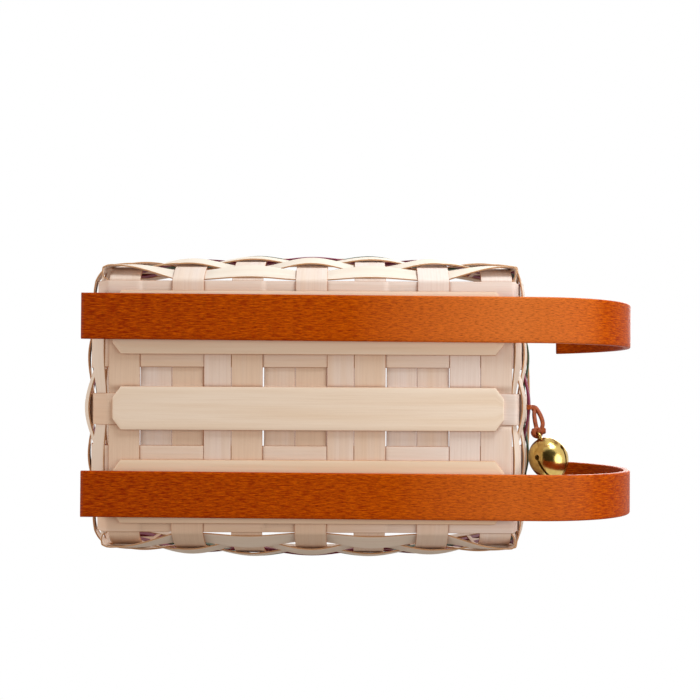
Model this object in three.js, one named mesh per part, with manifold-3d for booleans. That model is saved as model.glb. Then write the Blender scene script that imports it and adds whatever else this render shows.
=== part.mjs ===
// A woven splint basket on two bentwood sleigh runners, with a crotal bell tied to its front.
// Millimetres. +X points to the curls of the runners, +Y to the left, +Z up.
import * as THREE from "three";
import { mergeVertices } from "three/addons/utils/BufferGeometryUtils.js";
import Module from "manifold-3d";

const wasm = await Module();
wasm.setup();

// Driving dimensions: splints and weave.
const SPLINT_WIDTH = 19;
const SPLINT_THICKNESS = 1;
const WEAVER_WIDTH = 12.5;
const WEAVER_THICKNESS = 1;
const WEAVE_GAP = 0.3;
const CROSS_COUNT = 7;
const CROSS_PITCH = 37.2;
const LONG_COUNT = 5;
const LONG_PITCH = 33;
const FILLER_WIDTH = 16.4;
const FILLER_REACH = 58;
const TURN_RUN = 1.1;
const CROSS_TURN_RUN = 2.2;
const CROSS_TURN_START = 0.6;

// Driving dimensions: walls and rim.
const EDGE_GAP = 0.6;
const ROW_COLOURS = ["natural", "natural", "natural", "burgundy", "green", "burgundy"];
const ROW_PITCH = 13.6;
const UPSET = 1.2;
const SIDE_FLARE = { reach: 21.5, rise: 27, draw: 1.5 };
const FRONT_FLARE = { reach: 36, rise: 95, draw: 1 };
const REAR_FLARE = { reach: 20.5, rise: 17, draw: 1 };
const CONTACT_MARGIN = 1;
const CORNER_SHARE = 0.5;
const CORNER_POWER = 2;
const CORNER_LEAN = [[0.85, 0.4], [0.5, 1]];
const RIM_WIDTH = 17;
const RIM_THICKNESS = 1.5;
const RIM_LIP = 0.6;

// Driving dimensions: stays, runners and their screws.
const STAY_LENGTH = 234;
const STAY_THICKNESS = 1.8;
const CENTRE_STAY_WIDTH = 25.4;
const SIDE_STAY_WIDTH = 38.1;
const SIDE_STAY_OFFSET = 51;
const STAY_CHAMFER_ALONG = 5;
const STAY_CHAMFER_ACROSS = 6.5;
const SEAT_GAP = 0.2;
const RUNNER_WIDTH = 27.5;
const RUNNER_THICKNESS = 4;
const RUNNER_OFFSET = 52.5;
const RUNNER_REAR = 14.4;
const CURL_AHEAD = 15.7;
const CURL_RADIUS = 69.5;
const CURL_SWEEP = 150;
const CURL_STEPS = 12;
const SCREW_CROSSINGS = [1, 3, 5];
const SCREW_SHANK = 3;
const SCREW_HEAD = 6.4;
const SCREW_HEAD_HEIGHT = 1.6;
const SCREW_BITE = 2.8;
const SCREW_CLEARANCE = 0.3;
const SCREW_SIDES = 10;

// Driving dimensions: lace and bell.
const LACE_WIDTH = 3;
const LACE_THICKNESS = 1.5;
const LACE_GAP = 0.3;
const LACE_STRAND = 2.4;
const LACE_LENGTH = 22;
const LACE_BOW = 2.6;
const LACE_HANG = { outward: -3, level: -29 };
const BELL_HANG = { outward: 22, level: -12 };
const COLLAR_RADIUS = 2.4;
const COLLAR_LENGTH = 6.2;
const BIGHT_RADIUS = 2.9;
const KNOT_RADIUS = 3.2;
const KNOT_HEIGHT = 4.4;
const BELL_RADIUS = 12.3;
const BELL_CROWN = 11.2;
const BELL_DEPTH = 14;
const BELL_WALL = 1.1;
const BELL_TURN = 55;
const SLOT_WIDTH = 1.2;
const SLOT_TOP = 2;
const SLOT_HOLE = 3;
const SHANK_RADIUS = 3.3;
const SHANK_WIRE = 1.8;
const SHANK_RISE = 2.4;
const PELLET_RADIUS = 3.6;
const PELLET_GAP = 0.4;

// How finely the round pieces are faceted.
const WIRE_SIDES = 8;
const STRAND_STEPS = 8;
const LOOP_STEPS = 16;
const COLLAR_SIDES = 12;
const BELL_RINGS = 14;
const BELL_SIDES = 24;
const HOLE_SIDES = 10;
const PELLET_DETAIL = 2;

// The lace hangs from the lowest burgundy row.
const ROW_COUNT = ROW_COLOURS.length;
const LACE_ROW = ROW_COLOURS.indexOf("burgundy");

// Heights of the stack under the weave, from the soles of the runners.
const LAYER = (SPLINT_THICKNESS + WEAVE_GAP) / 2;
const STAY_BOTTOM = RUNNER_THICKNESS + SEAT_GAP;
const BASE_LEVEL = STAY_BOTTOM + STAY_THICKNESS + SEAT_GAP + SPLINT_THICKNESS / 2 + LAYER;

// Half sizes of the rectangle from whose edge the walls rise.
const CROSS_END = ((CROSS_COUNT - 1) * CROSS_PITCH + SPLINT_WIDTH) / 2;
const LONG_END = ((LONG_COUNT - 1) * LONG_PITCH + SPLINT_WIDTH) / 2;
const HALF_LENGTH = CROSS_END + EDGE_GAP;
const HALF_WIDTH = LONG_END + EDGE_GAP;

const MAPLE = new THREE.MeshStandardMaterial({ color: 0xdec4aa, roughness: 0.7, metalness: 0 });
const BURGUNDY = new THREE.MeshStandardMaterial({ color: 0x7a283e, roughness: 0.6, metalness: 0 });
const GREEN = new THREE.MeshStandardMaterial({ color: 0x3c4b32, roughness: 0.6, metalness: 0 });
const STAINED = new THREE.MeshStandardMaterial({ color: 0xa5480c, roughness: 0.45, metalness: 0 });
const BRASS = new THREE.MeshStandardMaterial({ color: 0xc8aa5a, roughness: 0.2, metalness: 1 });
const STEEL = new THREE.MeshStandardMaterial({ color: 0x9a9a98, roughness: 0.35, metalness: 1 });
const LEATHER = new THREE.MeshStandardMaterial({ color: 0x964623, roughness: 0.75, metalness: 0 });

const X_AXIS = new THREE.Vector3(1, 0, 0);
const Y_AXIS = new THREE.Vector3(0, 1, 0);

const basket = new THREE.Group();

function place(name, geometry, material) {
  const mesh = new THREE.Mesh(geometry, material);
  mesh.name = name;
  basket.add(mesh);
}

// Boolean helpers: a closed geometry to a solid and back.
function toSolid(geometry) {
  const bare = geometry.clone();
  bare.deleteAttribute("normal");
  bare.deleteAttribute("uv");
  const welded = mergeVertices(bare, 1e-4);
  const vertProperties = new Float32Array(welded.attributes.position.array);
  const triVerts = new Uint32Array(welded.index.array);
  return new wasm.Manifold(new wasm.Mesh({ numProp: 3, vertProperties, triVerts }));
}

function toGeometry(solid) {
  const mesh = solid.getMesh();
  const geometry = new THREE.BufferGeometry();
  geometry.setAttribute("position", new THREE.BufferAttribute(mesh.vertProperties, 3));
  geometry.setIndex(new THREE.BufferAttribute(mesh.triVerts, 1));
  geometry.computeVertexNormals();
  return geometry;
}

// A strip of rectangular section swept through points. Each point has its own across vector, and
// the thickness lies square to the path and mitred where the path turns.
function strip(points, acrossAt, width, thickness, closed) {
  const count = points.length;
  const positions = [];
  const indices = [];
  points.forEach((point, i) => {
    const across = acrossAt(i);
    const last = closed ? points[(i + count - 1) % count] : points[Math.max(i - 1, 0)];
    const next = closed ? points[(i + 1) % count] : points[Math.min(i + 1, count - 1)];
    const arriving = point.clone().sub(last);
    const leaving = next.clone().sub(point);
    const before = (arriving.lengthSq() > 0 ? arriving : leaving).clone().cross(across).normalize();
    const after = (leaving.lengthSq() > 0 ? leaving : arriving).clone().cross(across).normalize();
    const through = before.clone().add(after).divideScalar(1 + before.dot(after));
    for (const [side, face] of [[-1, -1], [1, -1], [1, 1], [-1, 1]]) {
      const corner = point.clone();
      corner.addScaledVector(across, (side * width) / 2);
      corner.addScaledVector(through, (face * thickness) / 2);
      positions.push(corner.x, corner.y, corner.z);
    }
  });
  const spans = closed ? count : count - 1;
  for (let i = 0; i < spans; i += 1) {
    const here = 4 * i;
    const next = 4 * ((i + 1) % count);
    for (let edge = 0; edge < 4; edge += 1) {
      const other = (edge + 1) % 4;
      indices.push(here + edge, here + other, next + other);
      indices.push(here + edge, next + other, next + edge);
    }
  }
  if (!closed) {
    const end = 4 * (count - 1);
    indices.push(0, 2, 1, 0, 3, 2);
    indices.push(end, end + 1, end + 2, end, end + 2, end + 3);
  }
  const geometry = new THREE.BufferGeometry();
  geometry.setAttribute("position", new THREE.Float32BufferAttribute(positions, 3));
  geometry.setIndex(indices);
  geometry.computeVertexNormals();
  return geometry;
}

// A round bar or drill along +Z, from one height to another.
function upright(radius, x, y, bottom, top) {
  const bar = new THREE.CylinderGeometry(radius, radius, top - bottom, SCREW_SIDES);
  bar.rotateX(Math.PI / 2);
  bar.translate(x, y, (bottom + top) / 2);
  return bar;
}

function drilled(geometry, drills) {
  let solid = toSolid(geometry);
  for (const drill of drills) {
    solid = solid.subtract(toSolid(drill));
  }
  return toGeometry(solid);
}

// Wall profile: how far a wall leans out at a height above the middle of the base.
function flare(wall, height) {
  return wall.reach * (1 - Math.exp(-height / wall.rise));
}

// The walls lean out less towards the corners: there a share shrinks their reach, and their rise as far
// as their draw says.
function eased(wall, share) {
  return { reach: wall.reach * share, rise: wall.rise * share ** wall.draw };
}

function leanShare(index, count) {
  const aside = Math.abs((2 * index) / (count - 1) - 1);
  return 1 - (1 - CORNER_SHARE) * aside ** CORNER_POWER;
}

// Heights where one row ends and the next begins, then the top of the rim.
const rowEdges = [UPSET];
for (let row = 0; row <= ROW_COUNT; row += 1) {
  const from = rowEdges[row];
  const step = row < ROW_COUNT ? ROW_PITCH : RIM_WIDTH;
  const lean = (flare(SIDE_FLARE, from + step) - flare(SIDE_FLARE, from)) / step;
  rowEdges.push(from + step / Math.hypot(1, lean));
}
const RIM_BOTTOM = rowEdges[ROW_COUNT];
const RIM_TOP = rowEdges[ROW_COUNT + 1];

function crossX(i) {
  return (i - (CROSS_COUNT - 1) / 2) * CROSS_PITCH;
}

function longY(j) {
  return (j - (LONG_COUNT - 1) / 2) * LONG_PITCH;
}

// In the base the splints go under and over in turn: -1 is under, on the outside of the basket.
function longSide(i, j) {
  return (i + j) % 2 === 0 ? -1 : 1;
}

// One end of an upsplint: from the top of the rim down to the base, as pairs of run and height.
function wallRun(direction, wall, end, level) {
  const heights = rowEdges.slice(0, -1).concat(RIM_TOP - RIM_LIP).reverse();
  const run = heights.map((height) => [direction * (end + flare(wall, height)), BASE_LEVEL + height]);
  run.push([direction * end, BASE_LEVEL + level]);
  return run;
}

// Runner screws go through a crosswise upsplint and a side stay into a runner. They stand on the flat
// of the upsplint between its turn and the outermost lengthwise splint.
const flatFrom = longY(LONG_COUNT - 2) + SPLINT_WIDTH / 2 + CROSS_TURN_START + CROSS_TURN_RUN;
const flatTo = longY(LONG_COUNT - 1) - SPLINT_WIDTH / 2;
const screwOffset = (flatFrom + flatTo) / 2;
const screwPlaces = [];
for (const side of [1, -1]) {
  for (const i of SCREW_CROSSINGS) {
    screwPlaces.push({ x: crossX(i), y: side * screwOffset, i, side });
  }
}
function screwDrills(wanted) {
  const radius = SCREW_SHANK / 2 + SCREW_CLEARANCE;
  const floor = RUNNER_THICKNESS - SCREW_BITE - SCREW_CLEARANCE;
  const chosen = screwPlaces.filter(wanted);
  return chosen.map((place) => upright(radius, place.x, place.y, floor, BASE_LEVEL + UPSET));
}

// Runners: a straight sole that bends up into a round curl at the front.
const RUNNER_BACK = -(CROSS_END + RUNNER_REAR);
const CURL_START = CROSS_END + CURL_AHEAD;
function runner(side) {
  const y = side * RUNNER_OFFSET;
  const middle = RUNNER_THICKNESS / 2;
  const points = [new THREE.Vector3(RUNNER_BACK, y, middle)];
  const radius = CURL_RADIUS - middle;
  for (let step = 0; step <= CURL_STEPS; step += 1) {
    const angle = THREE.MathUtils.degToRad((CURL_SWEEP * step) / CURL_STEPS);
    const x = CURL_START + radius * Math.sin(angle);
    points.push(new THREE.Vector3(x, y, CURL_RADIUS - radius * Math.cos(angle)));
  }
  const geometry = strip(points, () => Y_AXIS, RUNNER_WIDTH, RUNNER_THICKNESS, false);
  return drilled(geometry, screwDrills((place) => place.side === side));
}
place("runner_left", runner(1), STAINED);
place("runner_right", runner(-1), STAINED);

// Base stays: flat strips with their four corners cut off.
function stay(width, y, drills) {
  const along = STAY_LENGTH / 2;
  const across = width / 2;
  const outline = new THREE.Shape([
    new THREE.Vector2(-along, -across + STAY_CHAMFER_ACROSS),
    new THREE.Vector2(-along + STAY_CHAMFER_ALONG, -across),
    new THREE.Vector2(along - STAY_CHAMFER_ALONG, -across),
    new THREE.Vector2(along, -across + STAY_CHAMFER_ACROSS),
    new THREE.Vector2(along, across - STAY_CHAMFER_ACROSS),
    new THREE.Vector2(along - STAY_CHAMFER_ALONG, across),
    new THREE.Vector2(-along + STAY_CHAMFER_ALONG, across),
    new THREE.Vector2(-along, across - STAY_CHAMFER_ACROSS),
  ]);
  const geometry = new THREE.ExtrudeGeometry(outline, { depth: STAY_THICKNESS, bevelEnabled: false });
  geometry.translate(0, y, STAY_BOTTOM);
  return drilled(geometry, drills);
}
place("base_stay_centre", stay(CENTRE_STAY_WIDTH, 0, []), MAPLE);
place(
  "base_stay_left",
  stay(SIDE_STAY_WIDTH, SIDE_STAY_OFFSET, screwDrills((place) => place.side === 1)),
  MAPLE,
);
place(
  "base_stay_right",
  stay(SIDE_STAY_WIDTH, -SIDE_STAY_OFFSET, screwDrills((place) => place.side === -1)),
  MAPLE,
);

// Lengthwise upsplints: they change sides in the gaps between the groups of crosswise splints.
const TURN_GAP = CROSS_PITCH - SPLINT_WIDTH - FILLER_WIDTH - WEAVE_GAP;
for (let j = 0; j < LONG_COUNT; j += 1) {
  const share = leanShare(j, LONG_COUNT);
  const path = wallRun(-1, eased(REAR_FLARE, share), HALF_LENGTH, LAYER * longSide(0, j));
  for (let i = 0; i + 1 < CROSS_COUNT; i += 1) {
    const middle = crossX(i) + (SPLINT_WIDTH + TURN_GAP) / 2;
    path.push([middle - TURN_RUN / 2, BASE_LEVEL + LAYER * longSide(i, j)]);
    path.push([middle + TURN_RUN / 2, BASE_LEVEL + LAYER * longSide(i + 1, j)]);
  }
  const frontLevel = LAYER * longSide(CROSS_COUNT - 1, j);
  path.push(...wallRun(1, eased(FRONT_FLARE, share), HALF_LENGTH, frontLevel).reverse());
  const points = path.map(([x, z]) => new THREE.Vector3(x, longY(j), z));
  const geometry = strip(points, () => Y_AXIS, SPLINT_WIDTH, SPLINT_THICKNESS, false);
  place(`long_upsplint_${j + 1}`, geometry, MAPLE);
}

// Base part of a crosswise splint: it changes sides just outside each lengthwise splint.
function crossTurns(i, reach) {
  const path = [];
  for (let j = 0; j + 1 < LONG_COUNT; j += 1) {
    const middle = (LONG_COUNT - 1) / 2;
    const leaving = j >= middle;
    const edge = longY(j) + SPLINT_WIDTH / 2 + CROSS_TURN_START;
    const nextEdge = longY(j + 1) - SPLINT_WIDTH / 2 - CROSS_TURN_START;
    const start = leaving ? edge : nextEdge - CROSS_TURN_RUN;
    path.push([start, BASE_LEVEL - LAYER * longSide(i, j)]);
    path.push([start + CROSS_TURN_RUN, BASE_LEVEL - LAYER * longSide(i, j + 1)]);
  }
  if (reach) {
    path.unshift([-reach, BASE_LEVEL - LAYER * longSide(i, 0)]);
    path.push([reach, BASE_LEVEL - LAYER * longSide(i, LONG_COUNT - 1)]);
  }
  return path;
}

// Crosswise upsplints.
for (let i = 0; i < CROSS_COUNT; i += 1) {
  const wall = eased(SIDE_FLARE, leanShare(i, CROSS_COUNT));
  const path = wallRun(-1, wall, HALF_WIDTH, -LAYER * longSide(i, 0));
  path.push(...crossTurns(i, 0));
  const leftLevel = -LAYER * longSide(i, LONG_COUNT - 1);
  path.push(...wallRun(1, wall, HALF_WIDTH, leftLevel).reverse());
  const points = path.map(([y, z]) => new THREE.Vector3(crossX(i), y, z));
  const geometry = strip(points, () => X_AXIS, SPLINT_WIDTH, SPLINT_THICKNESS, false);
  place(`cross_upsplint_${i + 1}`, drilled(geometry, screwDrills((place) => place.i === i)), MAPLE);
}

// Fillers: short crosswise splints, each beside the upsplint that it is woven with.
for (let i = 1; i < CROSS_COUNT; i += 1) {
  const x = crossX(i) - (SPLINT_WIDTH + FILLER_WIDTH) / 2 - WEAVE_GAP;
  const points = crossTurns(i, FILLER_REACH).map(([y, z]) => new THREE.Vector3(x, y, z));
  const geometry = strip(points, () => X_AXIS, FILLER_WIDTH, SPLINT_THICKNESS, false);
  place(`base_filler_${i}`, geometry, MAPLE);
}

// Which side of an upsplint the first row passes: 1 outside, -1 inside.
function crossOutside(i) {
  return i % 2 === 0 ? 1 : -1;
}

function longOutside(j) {
  return j % 2 === 1 ? 1 : -1;
}

// Plan of the walls, counter-clockwise from above. Each point has a foot on the base rectangle, the
// direction in which the wall leans there and its share of the lean, and the side of the upsplint that
// the first row passes. At a corner the row folds just beyond the last crosswise upsplint.
const plan = [];
const farCorner = new THREE.Vector2(HALF_LENGTH, HALF_WIDTH);
const flatEnd = farCorner.clone().subScalar(EDGE_GAP / 2);
function planSplint(x, y, ahead, aside, outside, share) {
  const reach = SPLINT_WIDTH / 2 + CONTACT_MARGIN;
  const holdsLace = ahead === 1 && y === 0;
  for (const side of [-reach, reach]) {
    const foot = new THREE.Vector2(x - aside * side, y + ahead * side);
    if (ahead === 0) {
      foot.x = THREE.MathUtils.clamp(foot.x, -flatEnd.x, flatEnd.x);
    } else {
      foot.y = THREE.MathUtils.clamp(foot.y, -flatEnd.y, flatEnd.y);
    }
    plan.push({ foot, ahead, aside, outside, share, holdsLace });
  }
}
function planCorner(i, j) {
  const foot = new THREE.Vector2(Math.sign(crossX(i)), Math.sign(longY(j)));
  const leans = foot.x * foot.y > 0 ? CORNER_LEAN : [...CORNER_LEAN].reverse();
  for (const [end, side] of leans) {
    const ahead = foot.x * end;
    const aside = foot.y * side;
    const corner = foot.clone().multiply(farCorner);
    const outside = side > end ? crossOutside(i) : 0;
    plan.push({ foot: corner, ahead, aside, outside, share: CORNER_SHARE, holdsLace: false });
  }
}
const lastCross = CROSS_COUNT - 1;
const lastLong = LONG_COUNT - 1;
for (let j = 0; j <= lastLong; j += 1) {
  planSplint(HALF_LENGTH, longY(j), 1, 0, longOutside(j), leanShare(j, LONG_COUNT));
}
planCorner(lastCross, lastLong);
for (let i = lastCross; i >= 0; i -= 1) {
  planSplint(crossX(i), HALF_WIDTH, 0, 1, crossOutside(i), leanShare(i, CROSS_COUNT));
}
planCorner(0, lastLong);
for (let j = lastLong; j >= 0; j -= 1) {
  planSplint(-HALF_LENGTH, longY(j), -1, 0, longOutside(j), leanShare(j, LONG_COUNT));
}
planCorner(0, 0);
for (let i = 0; i <= lastCross; i += 1) {
  planSplint(crossX(i), -HALF_WIDTH, 0, -1, crossOutside(i), leanShare(i, CROSS_COUNT));
}
planCorner(lastCross, 0);

function planPoint({ foot, ahead, aside, share }, height) {
  const end = eased(ahead > 0 ? FRONT_FLARE : REAR_FLARE, share);
  const x = foot.x + ahead * flare(end, height);
  const y = foot.y + aside * flare(eased(SIDE_FLARE, share), height);
  return new THREE.Vector3(x, y, BASE_LEVEL + height);
}

// A ring round the walls between two heights of the profile, its band set off from the profile by
// the sway of each plan point.
function ring(bottom, top, width, thickness, swayAt) {
  const lower = plan.map((spot) => planPoint(spot, bottom));
  const upper = plan.map((spot) => planPoint(spot, top));
  const across = upper.map((point, i) => point.clone().sub(lower[i]).normalize());
  const points = plan.map((spot, i) => {
    const outward = new THREE.Vector3(spot.ahead, spot.aside, 0);
    outward.addScaledVector(across[i], -outward.dot(across[i])).normalize();
    return lower[i].clone().lerp(upper[i], 0.5).addScaledVector(outward, swayAt(spot));
  });
  return strip(points, (i) => across[i], width, thickness, true);
}

// Weavers: each row goes outside and inside of the upsplints in turn, the next row the other way.
const SWAY = SPLINT_THICKNESS / 2 + WEAVE_GAP + WEAVER_THICKNESS / 2;
const LACE_BULGE = LACE_THICKNESS + LACE_GAP;
const weaverColours = { natural: MAPLE, burgundy: BURGUNDY, green: GREEN };
for (let row = 0; row < ROW_COUNT; row += 1) {
  const turn = row % 2 === 0 ? 1 : -1;
  const swayAt = ({ outside, holdsLace }) => {
    const bulge = holdsLace && row === LACE_ROW ? LACE_BULGE : 0;
    return turn * outside * SWAY + bulge;
  };
  const geometry = ring(rowEdges[row], rowEdges[row + 1], WEAVER_WIDTH, WEAVER_THICKNESS, swayAt);
  place(`weaver_${row + 1}_${ROW_COLOURS[row]}`, geometry, weaverColours[ROW_COLOURS[row]]);
}

// Rim bands, inside and outside of the upsplints.
const RIM_SWAY = SPLINT_THICKNESS / 2 + WEAVE_GAP + RIM_THICKNESS / 2;
const rimWidth = RIM_WIDTH - 2 * WEAVE_GAP;
place("rim_band_outer", ring(RIM_BOTTOM, RIM_TOP, rimWidth, RIM_THICKNESS, () => RIM_SWAY), MAPLE);
place("rim_band_inner", ring(RIM_BOTTOM, RIM_TOP, rimWidth, RIM_THICKNESS, () => -RIM_SWAY), MAPLE);

// Runner screws, head up on the crosswise splint.
screwPlaces.forEach((spot, n) => {
  const seat = BASE_LEVEL - LAYER * longSide(spot.i, 0) + SPLINT_THICKNESS / 2 + SEAT_GAP;
  const tip = RUNNER_THICKNESS - SCREW_BITE;
  const shank = SCREW_SHANK / 2;
  const head = SCREW_HEAD / 2;
  const profile = [
    new THREE.Vector2(0, tip),
    new THREE.Vector2(shank, tip + shank / 2),
    new THREE.Vector2(shank, seat),
    new THREE.Vector2(head, seat),
    new THREE.Vector2(head, seat + SCREW_HEAD_HEIGHT / 2),
    new THREE.Vector2(head / 2, seat + SCREW_HEAD_HEIGHT),
    new THREE.Vector2(0, seat + SCREW_HEAD_HEIGHT),
  ];
  const geometry = new THREE.LatheGeometry(profile, SCREW_SIDES);
  geometry.rotateX(Math.PI / 2);
  geometry.translate(spot.x, spot.y, 0);
  place(`runner_screw_${n + 1}`, geometry, STEEL);
});

// Lace tie: a flat loop round the burgundy weaver where it passes outside the middle upsplint.
const tieLow = rowEdges[LACE_ROW];
const tieHigh = rowEdges[LACE_ROW + 1];
const tieFoot = new THREE.Vector3(HALF_LENGTH + flare(FRONT_FLARE, tieLow), 0, BASE_LEVEL + tieLow);
const tieHead = new THREE.Vector3(HALF_LENGTH + flare(FRONT_FLARE, tieHigh), 0, BASE_LEVEL + tieHigh);
const tieLean = tieHead.clone().sub(tieFoot).normalize();
const tieOut = Y_AXIS.clone().cross(tieLean);
const tieCentre = tieFoot.clone().lerp(tieHead, 0.5);
tieCentre.addScaledVector(tieOut, SWAY + LACE_BULGE);
const tieDepth = WEAVER_THICKNESS / 2 + LACE_GAP + LACE_THICKNESS / 2;
const tieHeight = WEAVER_WIDTH / 2 + LACE_GAP + LACE_THICKNESS / 2;
const tiePoints = [[1, -1], [1, 1], [-1, 1], [-1, -1]].map(([out, up]) => {
  const point = tieCentre.clone().addScaledVector(tieOut, out * tieDepth);
  return point.addScaledVector(tieLean, up * tieHeight);
});
place("lace_tie", strip(tiePoints, () => Y_AXIS, LACE_WIDTH, LACE_THICKNESS, true), LEATHER);

// Directions of the lace and of the bell at rest: to the left, turned outward and below the level.
function hanging({ outward, level }) {
  const out = THREE.MathUtils.degToRad(outward);
  const down = THREE.MathUtils.degToRad(level);
  const aside = Math.cos(out);
  return new THREE.Vector3(Math.sin(out), aside * Math.cos(down), aside * Math.sin(down));
}
// A frame with -Z along a direction and X as near to the front as it can be.
function hangingFrame(direction) {
  const up = direction.clone().negate();
  const eyeAxis = X_AXIS.clone().addScaledVector(direction, -direction.x).normalize();
  return new THREE.Matrix4().makeBasis(eyeAxis, up.clone().cross(eyeAxis), up);
}
const laceHang = hanging(LACE_HANG);
const bellHang = hanging(BELL_HANG);
const laceFrame = hangingFrame(laceHang);
const bellFrame = hangingFrame(bellHang);
const hinge = tieCentre.clone();
hinge.x += tieDepth + LACE_THICKNESS / 2 + LACE_GAP + COLLAR_RADIUS * tieLean.x;
const collarMiddle = hinge.clone().addScaledVector(X_AXIS, COLLAR_LENGTH / 2);
const eye = collarMiddle.clone().addScaledVector(laceHang, LACE_LENGTH);
const bellCentre = eye.clone().addScaledVector(bellHang, BELL_CROWN + SHANK_RISE);

// Bell lace: a collar at the tie, two strands, a wrapped knot and a bight through the shank.
const KNOT_MIDDLE = 2 * SHANK_RADIUS + LACE_STRAND / 4;
const spread = new THREE.Vector3().setFromMatrixColumn(laceFrame, 0);
function strandCurve(side) {
  const end = eye.clone().addScaledVector(laceHang, -KNOT_MIDDLE);
  const middle = collarMiddle.clone().lerp(end, 0.5).addScaledVector(spread, 2 * side * LACE_BOW);
  end.addScaledVector(spread, (side * LACE_STRAND) / 2);
  return new THREE.QuadraticBezierCurve3(collarMiddle, middle, end);
}
function roundShape(radius, sides) {
  const corners = [];
  for (let n = 0; n < sides; n += 1) {
    const angle = (2 * Math.PI * n) / sides;
    corners.push(new THREE.Vector2(radius * Math.cos(angle), radius * Math.sin(angle)));
  }
  return new THREE.Shape(corners);
}
const collar = new THREE.CylinderGeometry(COLLAR_RADIUS, COLLAR_RADIUS, COLLAR_LENGTH, COLLAR_SIDES);
collar.rotateZ(Math.PI / 2);
collar.translate(collarMiddle.x, collarMiddle.y, collarMiddle.z);
let laceSolid = toSolid(collar);
for (const side of [-1, 1]) {
  const options = { steps: STRAND_STEPS, bevelEnabled: false, extrudePath: strandCurve(side) };
  const strand = new THREE.ExtrudeGeometry(roundShape(LACE_STRAND / 2, WIRE_SIDES), options);
  laceSolid = laceSolid.add(toSolid(strand));
}
const knot = new THREE.CylinderGeometry(KNOT_RADIUS, KNOT_RADIUS, KNOT_HEIGHT, COLLAR_SIDES);
knot.rotateX(Math.PI / 2);
knot.translate(0, 0, KNOT_MIDDLE);
const bight = new THREE.TorusGeometry(BIGHT_RADIUS, LACE_STRAND / 2, WIRE_SIDES, LOOP_STEPS);
bight.rotateX(Math.PI / 2);
bight.translate(0, 0, BIGHT_RADIUS);
knot.applyMatrix4(laceFrame);
bight.applyMatrix4(bellFrame);
for (const piece of [knot, bight]) {
  piece.translate(eye.x, eye.y, eye.z);
  laceSolid = laceSolid.add(toSolid(piece));
}
place("bell_lace", toGeometry(laceSolid), LEATHER);

// Bell: a hollow acorn with two crossed slots that end in round holes, and its cast shank.
function acorn(shrink) {
  const profile = [];
  for (let n = 0; n <= BELL_RINGS; n += 1) {
    const angle = (Math.PI * n) / BELL_RINGS;
    const depth = Math.cos(angle) > 0 ? BELL_DEPTH : BELL_CROWN;
    const radius = n === 0 || n === BELL_RINGS ? 0 : (BELL_RADIUS - shrink) * Math.sin(angle);
    profile.push(new THREE.Vector2(radius, -(depth - shrink) * Math.cos(angle)));
  }
  const geometry = new THREE.LatheGeometry(profile, BELL_SIDES);
  geometry.rotateX(Math.PI / 2);
  return geometry;
}
const slotReach = 4 * BELL_RADIUS;
let bell = toSolid(acorn(0));
const shank = new THREE.TorusGeometry(SHANK_RADIUS, SHANK_WIRE / 2, WIRE_SIDES, LOOP_STEPS);
shank.rotateY(Math.PI / 2);
shank.translate(0, 0, BELL_CROWN + SHANK_RISE);
bell = bell.add(toSolid(shank));
bell = bell.subtract(toSolid(acorn(BELL_WALL)));
for (const quarter of [0, 90]) {
  const slot = new THREE.BoxGeometry(slotReach, SLOT_WIDTH, slotReach);
  slot.translate(0, 0, SLOT_TOP - slotReach / 2);
  const hole = new THREE.CylinderGeometry(SLOT_HOLE / 2, SLOT_HOLE / 2, slotReach, HOLE_SIDES);
  hole.rotateZ(Math.PI / 2);
  hole.translate(0, 0, SLOT_TOP);
  for (const cutter of [slot, hole]) {
    cutter.rotateZ(THREE.MathUtils.degToRad(BELL_TURN + quarter));
    bell = bell.subtract(toSolid(cutter));
  }
}
function intoBell(geometry) {
  geometry.applyMatrix4(bellFrame);
  geometry.translate(bellCentre.x, bellCentre.y, bellCentre.z);
  return geometry;
}
place("bell_shell", intoBell(toGeometry(bell)), BRASS);

// Pellet, lying at the slotted end of the bell.
const pellet = new THREE.IcosahedronGeometry(PELLET_RADIUS, PELLET_DETAIL);
pellet.translate(0, 0, -(BELL_DEPTH - BELL_WALL - PELLET_RADIUS - PELLET_GAP));
place("bell_pellet", intoBell(pellet), STEEL);

// The origin is the middle of the bounding box, on the floor.
const bounds = new THREE.Box3().setFromObject(basket);
basket.position.set(-(bounds.min.x + bounds.max.x) / 2, -(bounds.min.y + bounds.max.y) / 2, -bounds.min.z);

export default basket;
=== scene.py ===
"""Looks of a woven splint sleigh basket with bentwood runners and a small brass bell on a lace.

Sizes in the classes are millimetres. x runs forward from the middle of the basket's floor, y to the left and
z up from the soles of the runners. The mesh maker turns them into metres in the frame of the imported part.
"""

import logging
import math
import zlib
from dataclasses import dataclass
from enum import Enum
from functools import cached_property

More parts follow.
